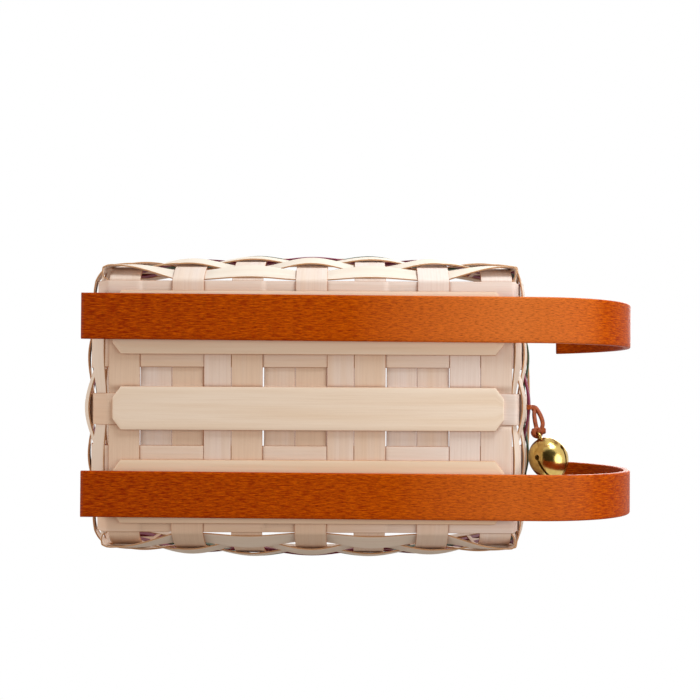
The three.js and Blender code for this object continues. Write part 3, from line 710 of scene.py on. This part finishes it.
@dataclass
class Studio:
    """Camera below the soles, as the basket lies on its side in the picture, white surround and soft lamps."""

    camera_place: Triple = (-0.0070, -0.0063, -0.683)
    camera_roll: float = -0.0046
    lens: float = 59.14
    shift_up: float = 0.0664
    surround: float = 0.335
    surround_tint: str = "#FFFAF3"
    floor_size: float = 3.0
    floor_level: float = -0.0004
    card_size: float = 2.0
    card_level: float = -0.79
    lamp_aim: float = 0.05
    floor_colour: str = "#F4F3F1"
    card_colour: str = "#3A3326"
    lamps: tuple[Lamp, ...] = (
        Lamp("key", (0.36, -0.88, -0.3), 1.0, 0.46, 1.21, "#DDF2FF"),
        Lamp("right", (0.8, 0.05, -0.6), 0.6, 0.4, 0.38, "#F8FDFF"),
        Lamp("left", (-0.94, 0.0, -0.32), 1.3, 0.7, 0.42),
        Lamp("sheen", (0.5, -0.2, -0.84), 1.2, 0.5, 0.06),
        Lamp("above", (0.35, -0.35, 0.87), 1.7, 1.2, 0.6),
    )

    def build(self) -> None:
        """Makes the camera, the surround, the lamps, the floor and the card."""
        scene = bpy.context.scene
        scene.view_settings.view_transform = "Standard"
        self.add_camera(scene)
        self.add_surround(scene)
        for lamp in self.lamps:
            lamp.build(self.lamp_aim)
        self.add_floor()
        self.add_dark_card()

    def add_camera(self, scene: bpy.types.Scene) -> None:
        """Looks straight up at the underside, with the front to the right and the right side on top."""
        data = bpy.data.cameras.new("camera")
        data.lens = self.lens
        data.sensor_width = 36.0
        data.shift_y = self.shift_up
        data.clip_start = 0.01
        camera = new_object("camera", data)
        camera.location = self.camera_place
        camera.rotation_euler = (math.pi, 0.0, self.camera_roll)
        scene.camera = camera

    def add_surround(self, scene: bpy.types.Scene) -> None:
        """White to the eye and to gloss, a softer and slightly warmer level as light."""
        world = bpy.data.worlds.new("white_surround")
        world.use_nodes = True
        tree = world.node_tree
        tree.nodes.clear()
        path = add_node(tree, "LightPath").outputs
        seen = calc(tree, "MAXIMUM", path["Is Camera Ray"], path["Is Glossy Ray"])
        seen = calc(tree, "MAXIMUM", seen, path["Is Transmission Ray"])
        shade = add_node(tree, "Background", {"Color": blend(tree, seen, self.surround_tint, "#FFFFFF"),
                                                        "Strength": remap(tree, seen, 0.0, 1.0, self.surround)})
        add_node(tree, "OutputWorld", {0: shade.outputs[0]})
        scene.world = world

    def add_sheet(self, name: str, outline: Array, material: Material) -> Piece:
        """A flat sheet of one face with a material."""
        mesh = bpy.data.meshes.new(name)
        mesh.from_pydata(outline.tolist(), [], [tuple(range(len(outline)))])
        mesh.materials.append(material)
        return new_object(name, mesh)

    def add_floor(self) -> None:
        """A pale floor just under the soles, seen from above only, that keeps the shadow."""
        material, tree = new_material("pale_paper_floor")
        path = add_node(tree, "LightPath").outputs["Is Camera Ray"]
        behind = add_node(tree, "NewGeometry").outputs["Backfacing"]
        shown = calc(tree, "MULTIPLY", path, calc(tree, "SUBTRACT", 1.0, behind))
        clear = add_node(tree, "BsdfTransparent").outputs[0]
        paper = add_node(tree, "BsdfDiffuse", {"Color": linear(self.floor_colour)}).outputs[0]
        close_with(tree, "MixShader", {0: shown, 1: clear, 2: paper})
        square = np.array([[-1, -1, 0], [1, -1, 0], [1, 1, 0], [-1, 1, 0]]) * self.floor_size / 2
        floor = self.add_sheet("floor", square + Z_AXIS * self.floor_level, material)

    def add_dark_card(self) -> None:
        """A round dark card behind the camera, which only gloss sees: the bell mirrors it like a dark room."""
        material, tree = new_material("dark_felt_card")
        close_with(tree, "BsdfDiffuse", {"Color": linear(self.card_colour)})
        turn = np.linspace(0, 2 * np.pi, 64, endpoint=False)
        circle = join(np.cos(turn), np.sin(turn), 0.0) * self.card_size / 2
        card = self.add_sheet("dark_card", circle + Z_AXIS * self.card_level, material)
        card.visible_camera = card.visible_diffuse = card.visible_shadow = card.visible_transmission = False


def hanging_frame(outward: float, level: float) -> Array:
    """Axes of a hanging piece as columns: z against its hang, and x as near to the front as it can be.

    The hang turns outward from the wall's plane and level is its angle above the level, both in degrees.
    """
    out, down = math.radians(outward), math.radians(level)
    hang = np.array([math.sin(out), math.cos(out) * math.cos(down), math.cos(out) * math.sin(down)])
    ahead = unit(X_AXIS - hang * hang[0])
    return join(ahead, np.cross(-hang, ahead), -hang)


@dataclass
class HangingLace:
    """Leather tie round the burgundy weaver, the doubled lace below it, its wrapped knot and its free end."""

    tie_section: Triple = (3.0, 1.5, 0.35)
    tie_gap: float = 0.3
    tie_power: float = 0.22
    weaver_width: float = 12.5
    collar_radius: float = 2.4
    collar_length: float = 6.2
    lace_section: Triple = (2.3, 2.6, 0.7)
    lace_reach: float = 22.0
    lace_angles: Pair = (-3.0, -29.0)
    bell_angles: Pair = (22.0, -12.0)
    strand_rise: float = 0.8
    strand_inset: float = 1.2
    bight_radius: float = 2.6
    bight_rise: float = 1.3
    bight_turn: tuple[float, ...] = (25.0, -20.0, -55.0, -90.0)
    knot_section: Triple = (2.1, 1.4, 0.5)
    knot_middle: Pair = (-0.4, 4.7)
    knot_oval: Pair = (3.8, 2.1)
    knot_turn: Pair = (-0.4, 3.7)
    knot_fall: float = 1.15
    knot_tilt: float = 0.3
    tail_section: Triple = (2.2, 1.2, 0.4)
    tail_knots: tuple[Triple, ...] = (
        (-1.4, -2.9, 6.0), (-2.8, -3.2, 4.6), (-3.6, -3.2, 2.6), (-3.9, -3.0, 0.2))
    step: float = 0.35
    bowed_strand: Pairs = (
        (-2.2, 21.4), (-0.2, 18.4), (1.4, 14.6), (2.2, 11.0), (2.0, 8.4), (1.3, 6.0), (1.6, 4.4))
    wall_strand: Pairs = (
        (-1.6, 4.4), (-1.7, 6.4), (-2.2, 9.0), (-2.7, 12.5), (-3.0, 16.0), (-3.0, 19.4))

    def __post_init__(self) -> None:
        """Works out the tie's middle on the leaning front wall and the eye where the bell hangs."""
        edges = FORM.row_edges()[FORM.lace_row:FORM.lace_row + 2]
        foot, head = (np.array([FORM.half_length + float(FORM.front.lean(edge)), 0.0, FORM.base_level + edge])
                      for edge in edges)
        self.lean = unit(head - foot)
        self.out = np.cross(Y_AXIS, self.lean)
        self.tie_middle = (foot + head) / 2 + self.out * FORM.lace_sway
        thickness = self.tie_section[1]
        self.tie_depth = FORM.splint_thickness / 2 + self.tie_gap + thickness / 2
        ahead = self.tie_depth + thickness / 2 + self.tie_gap + self.collar_radius * self.lean[0]
        self.hinge = self.tie_middle + X_AXIS * ahead
        self.collar_middle = self.hinge + X_AXIS * self.collar_length / 2
        self.axes = hanging_frame(*self.lace_angles)
        self.bell_axes = hanging_frame(*self.bell_angles)
        self.eye = self.collar_middle - self.axes[:, 2] * self.lace_reach

    def build(self) -> None:
        """Builds the lace first, then the pieces on it."""
        path = self.route()
        lace = self.strip("lace_strands", path, self.axes[:, 1], self.lace_section, Body.LACE, "bell_lace")
        pieces = [self.tie(), self.knot(), self.tail()]

    def strip(self, name: str, path: Array, across: Array, section: Triple, body: Body,
              *nodes: str, ring: bool = False) -> Piece:
        """A leather strip along a path, its section given as width, thickness and rounding."""
        grid = ribbon(path, across, *section, ring=ring, face=3)
        return LACE_LEATHER.dress(mesh_object(name, grid), body, *nodes)

    def route(self) -> Array:
        """From the tie down the bowed strand, through the knot and the bell's eye, and up the one beside the wall."""
        bowed, wall = (np.array([(ahead, 0.0, above) for ahead, above in strand]) @ self.axes.T
                       for strand in (self.bowed_strand, self.wall_strand))
        turn = np.radians(self.bight_turn)
        circle = join(np.cos(turn), 0.0, 1 + np.sin(turn)) * self.bight_radius
        bight = (circle + Z_AXIS * self.bight_rise) @ self.bell_axes.T
        back = bight[-2::-1] - 2 * np.outer(bight[-2::-1] @ self.bell_axes[:, 0], self.bell_axes[:, 0])
        first, last = (self.hinge - X_AXIS * self.strand_inset - self.eye + Z_AXIS * rise
                       for rise in (self.strand_rise, -self.strand_rise))
        knots = np.concatenate([[first], bowed, bight, back, wall, [last]])
        return resample(smooth_curve(knots), self.step) + self.eye

    def tie(self) -> Piece:
        """A flat loop round the weaver: a rounded rectangle in the plane of the wall's slope."""
        high = self.weaver_width / 2 + self.tie_gap + self.tie_section[1] / 2
        turn = np.linspace(0, 2 * np.pi, 72, endpoint=False)
        outward, upward = (np.sign(wave) * np.abs(wave) ** self.tie_power * half
                           for wave, half in ((np.cos(turn), self.tie_depth), (np.sin(turn), high)))
        path = self.tie_middle + outward[:, None] * self.out + upward[:, None] * self.lean
        return self.strip("lace_loop", path, Y_AXIS, self.tie_section, Body.BASKET, "lace_tie", ring=True)

    def knot(self) -> Piece:
        """Two turns of lace wrapped round both strands: a helix about the lace's own axis on an oval."""
        turn = np.linspace(self.knot_turn[0] * np.pi, self.knot_turn[1] * np.pi, 150)
        ahead, above = self.knot_middle
        long, short = self.knot_oval
        height = above + self.knot_fall * np.linspace(1, -1, len(turn)) + self.knot_tilt * np.sin(turn)
        oval = join(ahead + long * np.cos(turn), short * np.sin(turn), height)
        return self.strip("lace_knot", self.eye + oval @ self.axes.T, self.axes[:, 2], self.knot_section, Body.LACE)

    def tail(self) -> Piece:
        """The lace's free end, out of the knot and down beside the bell's crown."""
        path = resample(smooth_curve(np.array(self.tail_knots) @ self.axes.T), self.step) + self.eye
        return self.strip("lace_tail", path, self.axes[:, 0], self.tail_section, Body.LACE)


@dataclass
class CrotalBell:
    """Hollow cast bell: a rounded crown, a deeper mouth cut by two crossed slots, and an eye on top."""

    lace: HangingLace
    radius: float = 12.3
    crown: float = 13.2
    depth: float = 14.0
    wall: float = 1.1
    turn: float = 46.0
    slot_half: float = 0.75
    hole_radius: float = 1.65
    hole_level: float = 2.0
    eye_radius: float = 3.3
    eye_wire: float = 0.9
    eye_rise: float = 0.4
    eye_rounding: float = 0.88
    slot_ease: float = 0.3
    weld: float = 0.002

    def build(self) -> None:
        """Makes the shell and the eye, and paints the pellet."""
        axes = self.lace.bell_axes
        middle = self.lace.eye - axes[:, 2] * (self.crown + self.eye_rise)
        shell = self.shell(middle, axes)
        BRASS.dress(shell, Body.BELL, "bell_shell")
        turn = np.linspace(0, 2 * np.pi, 48, endpoint=False)
        circle = join(0.0, np.cos(turn), np.sin(turn)) * self.eye_radius
        grid = ribbon(self.lace.eye + circle @ axes.T, axes[:, 0], 2 * self.eye_wire, 2 * self.eye_wire,
                      self.eye_rounding, ring=True, face=2, corner=4)
        BRASS.dress(mesh_object("bell_eye", grid), Body.BELL)
        STEEL.paint(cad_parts["bell_pellet"])

    def shell(self, middle: Array, axes: Array) -> Piece:
        """Four petals between the slots, closed into one skin above them.

        At level z the skin is a circle of radius R times the root of 1 - (z / d) squared, d being the crown's
        height above the middle and the mouth's depth below it. Each petal spans a quarter of the circle less the
        angle of the opening on both sides: none above the holes, the hole's chord beside it, the slot below it.

        Args:
            middle: centre of the bell.
            axes: its axes as columns.
        Returns:
            The shell, with its wall thickness as a modifier.
        """
        top = self.hole_level + self.hole_radius
        chord = -math.sqrt(self.hole_radius ** 2 - self.slot_half ** 2)
        dome = self.crown * np.cos(np.linspace(0, math.acos(top / self.crown), 16))
        hole = self.hole_level + self.hole_radius * np.cos(np.linspace(0, math.acos(chord / self.hole_radius), 12))[1:]
        tip = math.acos(1.5 * self.slot_half / self.radius)
        mouth = -self.depth * np.sin(np.linspace(0, tip, 22))
        level = np.concatenate([dome, hole, mouth])
        squat = np.where(level > 0, self.crown, self.depth)
        radius = self.radius * np.sqrt(np.maximum(1 - (level / squat) ** 2, 0))
        bow = np.sqrt(np.maximum(self.hole_radius ** 2 - (level - self.hole_level) ** 2, 0))
        half = np.where(level < self.hole_level, np.maximum(bow, self.slot_half), bow)
        opening = np.arcsin(np.clip(half / np.maximum(radius, 1e-6), 0, 0.7071)) * (level < top)
        share = np.linspace(0, 1, 17)
        quarter = np.pi / 2 - 2 * opening
        angle = (math.radians(self.turn) + np.arange(4)[:, None, None] * np.pi / 2
                 + opening[None, :, None] + quarter[None, :, None] * share)
        across = radius[None, :, None]
        points = join(across * np.cos(angle), across * np.sin(angle), level[None, :, None])
        rows, columns = len(level), len(share)
        corner = (np.arange(4)[:, None, None] * rows + np.arange(rows - 1)[:, None]) * columns + np.arange(columns - 1)
        faces = (corner[..., None] + [0, columns, columns + 1, 1]).reshape(-1, 4)
        mesh = bpy.data.meshes.new("bell_skin")
        placed = middle + points.reshape(-1, 3) @ axes.T
        mesh.from_pydata(to_row(placed).tolist(), [], faces.tolist())
        work = bmesh.new()
        work.from_mesh(mesh)
        bmesh.ops.remove_doubles(work, verts=work.verts, dist=self.weld / 1000)
        bmesh.ops.recalc_face_normals(work, faces=work.faces)
        work.to_mesh(mesh)
        work.free()
        mesh.polygons.foreach_set("use_smooth", np.ones(len(mesh.polygons), bool))
        piece = new_object("bell_skin", mesh)
        wall = piece.modifiers.new("wall", "SOLIDIFY")
        wall.thickness = self.wall / 1000
        wall.offset = -1.0
        ease = piece.modifiers.new("eased_slots", "BEVEL")
        ease.width = self.slot_ease / 1000
        ease.segments = 3
        ease.limit_method = "ANGLE"
        ease.angle_limit = math.radians(50)
        return piece


@dataclass
class Runners:
    """Two bentwood strips: a straight sole that bends up into a round curl at the front."""

    width: float = 27.5
    thickness: float = 4.0
    rounding: float = 1.0
    offset: float = 53.0
    back: float = -136.1
    curl_start: float = 135.8
    curl_radius: float = 67.5
    sweep: float = 150.0
    askew: float = 0.005
    curl_drift: float = 1.5
    # Painted light along each runner by distance from the back, mm: darker at the back, lightest just before the curl
    # where a painted sheen of the varnish sits.
    sheen_and_light_drift: Pairs = (
        (0.0, -1.1), (155.0, -0.35), (258.0, 0.8), (285.0, 0.45), (305.0, 0.1), (325.0, -0.6), (450.0, -0.6))

    def build(self) -> None:
        """Carries the strip along the sole and round the curl.

        Both runners sit a little askew, y growing with x, and each curl drifts inwards as the square of the way
        round it. Painted light and a painted sheen make the colour lightest before the curl and darker towards the
        back; the left runner gets a flatter, darker copy of it as painted shade.
        """
        sole = join(np.linspace(self.back, self.curl_start, 110), self.thickness / 2)
        turn = np.radians(np.linspace(0, self.sweep, 90))[1:]
        curl = join(self.curl_start + self.curl_radius * np.sin(turn),
                    self.thickness / 2 + self.curl_radius * (1 - np.cos(turn)))
        run = np.concatenate([sole, curl])
        round_curl = np.concatenate([np.zeros(len(sole)), turn / turn[-1]])
        # The left runner's painted light is flatter and darker: painted shade.
        for side, name, share, shade in ((1, "left", 0.65, -0.3), (-1, "right", 1.0, 0.0)):
            aside = side * (self.offset - self.curl_drift * round_curl ** 2) + self.askew * run[:, 0]
            path = join(run[:, 0], aside, run[:, 1])
            grid = ribbon(path, Y_AXIS, self.width, self.thickness, self.rounding, face=10, corner=4)
            tone = share * follow(self.sheen_and_light_drift, arc_length(path)) + shade
            BENTWOOD.dress(mesh_object(f"bentwood_{name}", grid, tone), Body.BASKET, f"runner_{name}")


@dataclass
class Stays:
    """Three flat strips under the floor with their corners cut off."""

    length: float = 234.0
    thickness: float = 1.8
    rounding: float = 0.45
    bottom: float = 4.2
    chamfer_along: float = 5.0
    chamfer_across: float = 6.5
    shift: float = -1.1
    tone_range: Pair = (-0.8, 0.2)

    def build(self) -> None:
        """Carries the strip along x; its width shrinks evenly over the cut corners."""
        inner = self.length - self.chamfer_along
        x = np.concatenate([np.linspace(0, self.chamfer_along, 8), np.linspace(self.chamfer_along, inner, 190)[1:],
                            np.linspace(inner, self.length, 8)[1:]]) - self.length / 2
        cut = np.clip(1 - (self.length / 2 - np.abs(x)) / self.chamfer_along, 0, 1)
        for name, width, offset, shade in (("centre", 26.2, 1.2, 0.0), ("left", 38.1, 51.0, 1.3),
                                           ("right", 38.1, -50.2, 1.3)):
            path = join(x + self.shift, offset, self.bottom + self.thickness / 2)
            across = width - 2 * self.chamfer_across * cut
            grid = ribbon(path, Y_AXIS, across, self.thickness, self.rounding, face=10)
            tone = seeded("stay" + name).uniform(*self.tone_range) + shade
            STAY_MAPLE.dress(mesh_object(f"floor_stay_{name}", grid, tone), Body.BASKET, f"base_stay_{name}")


@dataclass
class Splints:
    """Lengthwise and crosswise upsplints and the fillers, plaited over and under each other in the floor."""

    turn_run: float = 1.1
    cross_turn_run: float = 2.2
    cross_turn_start: float = 0.6
    filler_reach: float = 58.0
    rim_lip: float = 0.6
    rounding: float = 0.42
    bend: float = 0.8
    front_bow: float = 2.2
    bow_rise: float = 9.0
    asides: Pair = (1.8, 1.3)
    aside_run: Pair = (85.0, 115.0)
    fine_step: float = 0.4
    step: float = 1.0
    long_tone: float = -0.2
    cross_tone: float = -0.7
    filler_tone: float = 0.9
    tone_drift: float = 0.6
    # Painted light on the splints' tone, by y and by x, mm: lighter where y is below -52, towards the key lamp, and
    # towards the front, where the right lamp falls.
    key_side_light_drift: Pairs = ((-82.0, 2.0), (-66.0, 1.3), (-52.0, 0.0))
    front_light_drift: Pairs = ((20.0, 0.0), (110.0, 2.4))
    cross_edges: Pairs = (
        (-120.8, -102.1), (-83.0, -63.8), (-47.2, -28.5), (-9.0, 10.1), (26.4, 45.2), (64.2, 83.3), (102.2, 121.1))
    filler_edges: Pairs = (
        (-102.0, -83.1), (-63.7, -47.3), (-27.7, -9.1), (10.2, 26.3), (45.9, 64.1), (83.6, 102.1))

    def build(self) -> None:
        """Builds every splint of the floor."""
        for j in range(FORM.long_count):
            self.lengthwise(j)
        for i in range(FORM.cross_count):
            self.crosswise(i)
        for i in range(1, FORM.cross_count):
            self.filler(i)

    def wall_run(self, direction: int, flare: Flare, end: float, level: float,
                 bow: float = 0.0) -> list[Pair]:
        """One end of an upsplint from the floor up: the wall's flare, with its first millimetres joined to the floor.

        Args:
            direction: side of the basket, 1 or -1.
            flare: the wall's lean.
            end: half size of the floor there.
            level: the splint's height over the floor's middle level.
            bow: how far its foot bows out, fading with the height.
        Returns:
            Pairs of run and height over the floor's middle level.
        """
        height = np.linspace(0, FORM.row_edges()[-1] - self.rim_lip, 90)
        joined = np.where(height < FORM.upset, level + height * (FORM.upset - level) / FORM.upset, height)
        run = direction * (end + flare.lean(height) + bow * np.exp(-height / self.bow_rise))
        return list(zip(run, joined))

    def strip(self, name: str, node: str, path: list[Pair], edges: Pair,
              lengthwise: bool, tone: float, asides: Pair = (0.0, 0.0)) -> None:
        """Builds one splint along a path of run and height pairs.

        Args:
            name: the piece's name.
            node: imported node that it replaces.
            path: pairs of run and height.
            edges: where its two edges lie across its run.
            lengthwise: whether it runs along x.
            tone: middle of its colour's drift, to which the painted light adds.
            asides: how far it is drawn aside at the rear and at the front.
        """
        run, height = np.array(path).T
        level = FORM.base_level + height
        near, far = self.aside_run
        rest = sum(edges) / 2 + np.interp(run, (-far, -near, near, far), (asides[0], 0.0, 0.0, asides[1]))
        points = join(run, rest, level) if lengthwise else join(rest, run, level)
        points = resample(soften(resample(points, self.fine_step), self.bend, self.fine_step), self.step)
        across = Y_AXIS if lengthwise else X_AXIS
        grid = ribbon(points, across, edges[1] - edges[0], FORM.splint_thickness, self.rounding)
        drift = seeded(name + "tone").uniform(-self.tone_drift, self.tone_drift)
        # Painted light: the splint is lighter towards the key lamp's side and towards the front.
        painted_light = follow(self.key_side_light_drift, points[:, 1]) + follow(self.front_light_drift, points[:, 0])
        MAPLE.dress(mesh_object(name, grid, tone + drift + painted_light), Body.BASKET, node)

    def lengthwise(self, j: int) -> None:
        """Builds lengthwise upsplint j, which turns in the gaps between the crosswise groups."""
        y, last = FORM.long_y(j), FORM.cross_count - 1
        share = float(FORM.lean_share(y / FORM.long_y(FORM.long_count - 1)))
        bow, asides = (self.front_bow, self.asides) if j == FORM.long_count // 2 else (0.0, (0.0, 0.0))
        path = self.wall_run(-1, FORM.rear.eased(share), FORM.half_length, FORM.weave(0, j))[::-1]
        for i in range(last):
            middle = (self.cross_edges[i][1] + self.filler_edges[i][0]) / 2
            path += [(middle - self.turn_run / 2, FORM.weave(i, j)), (middle + self.turn_run / 2, FORM.weave(i + 1, j))]
        path += self.wall_run(1, FORM.front.eased(share), FORM.half_length, FORM.weave(last, j), bow)
        edges = (y - FORM.splint_width / 2, y + FORM.splint_width / 2)
        self.strip(f"lengthwise_splint_{j + 1}", f"long_upsplint_{j + 1}", path, edges, True, self.long_tone, asides)

    def floor_turns(self, i: int) -> list[Pair]:
        """Where a crosswise splint changes sides between the lengthwise ones."""
        path, half = [], FORM.splint_width / 2
        for j in range(FORM.long_count - 1):
            if j >= (FORM.long_count - 1) / 2:
                start = FORM.long_y(j) + half + self.cross_turn_start
            else:
                start = FORM.long_y(j + 1) - half - self.cross_turn_start - self.cross_turn_run
            path += [(start, -FORM.weave(i, j)), (start + self.cross_turn_run, -FORM.weave(i, j + 1))]
        return path

    def crosswise(self, i: int) -> None:
        """Builds crosswise upsplint i."""
        flare = FORM.side.eased(float(FORM.lean_share(FORM.cross_x(i) / FORM.cross_x(FORM.cross_count - 1))))
        right, left = (self.wall_run(side, flare, FORM.half_width, -FORM.weave(i, j))
                       for side, j in ((-1, 0), (1, FORM.long_count - 1)))
        path = right[::-1] + self.floor_turns(i) + left
        name, node = f"crosswise_splint_{i + 1}", f"cross_upsplint_{i + 1}"
        self.strip(name, node, path, self.cross_edges[i], False, self.cross_tone)

    def filler(self, i: int) -> None:
        """Builds the short filler beside crosswise upsplint i."""
        first, last = (-FORM.weave(i, j) for j in (0, FORM.long_count - 1))
        path = [(-self.filler_reach, first), *self.floor_turns(i), (self.filler_reach, last)]
        self.strip(f"filler_splint_{i}", f"base_filler_{i}", path, self.filler_edges[i - 1], False, self.filler_tone)


@dataclass
class Weavers:
    """Rows of splint that pass outside and inside of the upsplints in turn, each row opposite to the last."""

    width: float = 13.0
    thickness: float = 1.0
    sways: tuple[float, ...] = (2.1, 3.0, 2.2, 1.5, 2.4, 1.4)
    foot_share: float = 0.5
    foot_drop: float = 0.6
    drift: float = 0.12
    drift_waves: int = 5
    tone_range: Pair = (-0.8, 0.6)
    rounding: float = 0.42
    colours: tuple[str, ...] = ("natural", "natural", "natural", "burgundy", "green", "burgundy")

    def build(self) -> None:
        """Builds each row in its own colour."""
        finishes = {"natural": WASHED_MAPLE, "burgundy": BURGUNDY, "green": GREEN}
        edges = FORM.row_edges()
        for row, colour in enumerate(self.colours):
            grid = self.row_band(row, edges[row], edges[row + 1])
            tone = seeded(f"row{row}").uniform(*self.tone_range)
            piece = mesh_object(f"woven_row_{row + 1}", grid, tone)
            finishes[colour].dress(piece, Body.BASKET, f"weaver_{row + 1}_{colour}")

    def row_band(self, row: int, low: float, high: float) -> Grid:
        """One row: the wall's band, moved out of the wall by the sway, with a slow drift of its own.

        The sway goes from one upsplint's value to the next one's along half a cosine. The first row's lower edge
        sways less than its upper one, because it is pulled down to the floor's edge.

        Args:
            row: number of the row from the floor.
            low: height of its lower edge.
            high: height of its upper edge.
        Returns:
            The row's surface.
        """
        plan = FORM.plan()
        drop = self.foot_drop if row == 0 else 0.0
        middle, across, outward = FORM.band(plan, low - drop, high)
        closed = arc_length(middle, True)
        along, length = closed[:-1], closed[-1]
        stakes, passing = FORM.upsplint_feet()
        nearest = np.linalg.norm(plan.feet[None, :, :] - stakes[:, None, :], axis=2).argmin(axis=1)
        values = passing * self.sways[row] * (1 if row % 2 == 0 else -1)
        lace_stake = np.linalg.norm(stakes - [FORM.half_length, 0.0], axis=1).argmin()
        if row == FORM.lace_row:
            values = np.where(np.arange(len(stakes)) == lace_stake, FORM.lace_sway, values)
        order = np.argsort(along[nearest])
        knots, values = along[nearest][order], values[order]
        knots = np.concatenate([[knots[-1] - length], knots, [knots[0] + length]])
        values = np.concatenate([values[-1:], values, values[:1]])
        span = np.clip(np.searchsorted(knots, along, side="right") - 1, 0, len(knots) - 2)
        share = (along - knots[span]) / (knots[span + 1] - knots[span])
        sway = values[span] + (values[span + 1] - values[span]) * (1 - np.cos(np.pi * share)) / 2
        sway = sway + wander(along / length, f"row drift {row}", self.drift_waves, self.drift)
        half = (self.width + drop) / 2
        foot_sway = sway * (self.foot_share if row == 0 else 1.0)
        lower = middle - across * half + outward * foot_sway[:, None]
        upper = middle + across * half + outward * sway[:, None]
        return ribbon((lower + upper) / 2, upper - lower, 2 * half, self.thickness, self.rounding, ring=True)


@dataclass
class Rim:
    """Two flat bands, outside and inside of the upsplints, that close the top edge."""

    width: float = 16.4
    thickness: float = 1.5
    sway: float = 1.55
    rounding: float = 0.6
    tone_range: Pair = (-0.6, 0.6)

    def build(self) -> None:
        """Carries each band round the walls at an even distance."""
        low, high = FORM.row_edges()[-2:]
        middle, across, outward = FORM.band(FORM.plan(), low, high)
        for side, name in ((1, "outer"), (-1, "inner")):
            path = middle + outward * (side * self.sway)
            grid = ribbon(path, across, self.width, self.thickness, self.rounding, ring=True)
            piece = mesh_object(f"rim_hoop_{name}", grid, seeded("rim" + name).uniform(*self.tone_range))
            WASHED_MAPLE.dress(piece, Body.BASKET, f"rim_band_{name}")


@dataclass
class Screws:
    """Steel screws that hold the floor to the runners, heads up inside the basket."""

    count: int = 6

    def build(self) -> None:
        """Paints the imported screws."""
        for number in range(1, self.count + 1):
            STEEL.paint(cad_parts[f"runner_screw_{number}"])


def main() -> None:
    """Builds the studio, then the basket from the lace to the screws."""
    logging.basicConfig(level=logging.INFO, format="%(name)s: %(message)s")
    Studio().build()
    lace = HangingLace()
    lace.build()
    CrotalBell(lace).build()
    Runners().build()
    Stays().build()
    Splints().build()
    Weavers().build()
    Rim().build()
    Screws().build()


if __name__ == "__main__":
    main()
